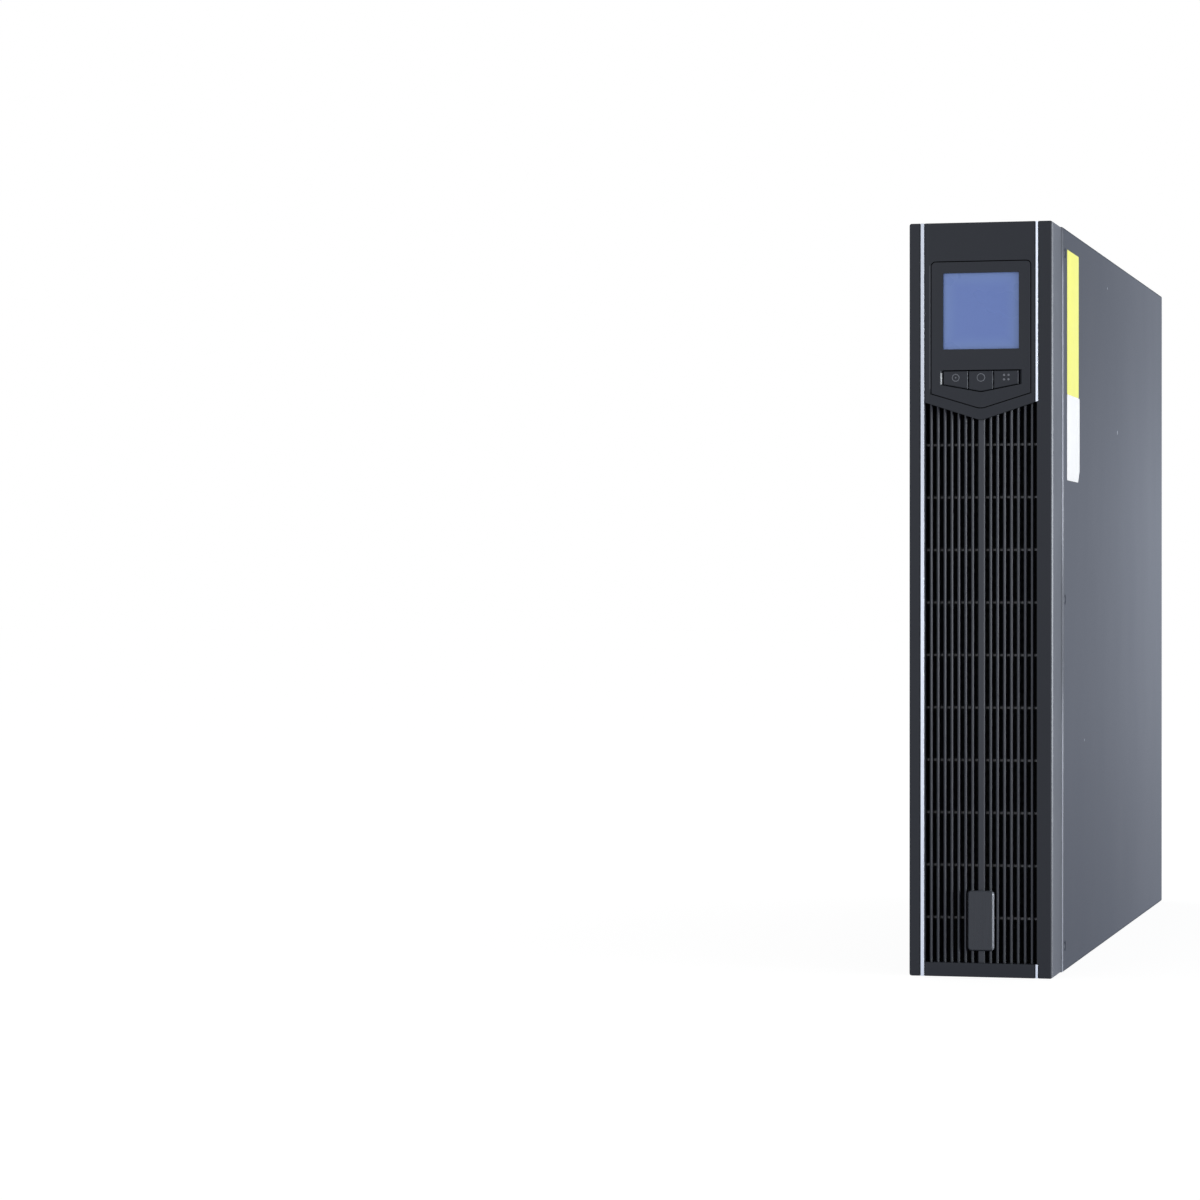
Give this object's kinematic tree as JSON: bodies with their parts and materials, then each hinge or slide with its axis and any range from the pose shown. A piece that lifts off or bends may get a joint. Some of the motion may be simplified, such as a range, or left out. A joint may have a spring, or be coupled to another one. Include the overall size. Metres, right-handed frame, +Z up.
{
  "type": "rack and tower uninterruptible power supply",
  "caption": "Slim upright uninterruptible power supply: black steel case, slotted front bezel with a square display over push keys, and a rear panel with fans, ports and terminals.",
  "frame": {"origin": "centre of the bounding box at floor level, with the unit standing on its narrow side", "axes": "+X to the right seen from the front, +Y from the bezel to the rear panel, +Z up"},
  "size_m": [0.086, 0.62, 0.438],
  "materials": {
    "bezel_plastic": "fine satin moulding",
    "panel_plastic": "satin",
    "key_plastic": "satin",
    "lcd": "glossy",
    "silver_trim": "silver paint",
    "badge": "gloss",
    "black_steel": "satin powder coat",
    "screen_steel": "satin",
    "fan_plastic": "matt",
    "bright_steel": "plated",
    "epo_green": "matt",
    "breaker_grey": "satin",
    "black_plastic": "matt",
    "contact_brass": "plated",
    "grommet_rubber": "matt"
  },
  "bodies": {
    "case": {"bezel_frame": "bezel_plastic", "intake_grille": "bezel_plastic", "display_plate": "bezel_plastic", "display_panel": "panel_plastic", "lcd_screen": "lcd", "trim_left": "silver_trim", "trim_right_upper": "silver_trim", "trim_right_lower": "silver_trim", "badge_plate": "badge", "base_pan": "black_steel", "cover_panel": "black_steel", "front_plate": "black_steel", "rear_panel": "black_steel", "card_slot_cover": "black_steel", "vent_screen": "screen_steel", "fan_upper_frame": "fan_plastic", "fan_upper_rotor": "fan_plastic", "fan_lower_frame": "fan_plastic", "fan_lower_rotor": "fan_plastic", "fan_upper_guard": "bright_steel", "fan_lower_guard": "bright_steel", "card_thumbscrews": "bright_steel", "serial_port": "bright_steel", "usb_port": "bright_steel", "ground_stud": "bright_steel", "epo_plug": "epo_green", "input_breaker": "breaker_grey", "breaker_lever": "black_plastic", "battery_socket": "black_plastic", "terminal_cover": "black_plastic", "battery_contacts": "contact_brass", "cable_grommets": "grommet_rubber"},
    "on_button": {"key_on": "key_plastic"},
    "off_button": {"key_off": "key_plastic"},
    "menu_button": {"key_menu": "key_plastic"}
  },
  "joints": [
    {"name": "on_press", "type": "slide", "parent": "case", "child": "on_button", "axis": [0, 1, 0], "range_m": [0, 0.001], "stiffness_N_per_m": 1500},
    {"name": "off_press", "type": "slide", "parent": "case", "child": "off_button", "axis": [0, 1, 0], "range_m": [0, 0.001], "stiffness_N_per_m": 1500},
    {"name": "menu_press", "type": "slide", "parent": "case", "child": "menu_button", "axis": [0, 1, 0], "range_m": [0, 0.001], "stiffness_N_per_m": 1500}
  ]
}
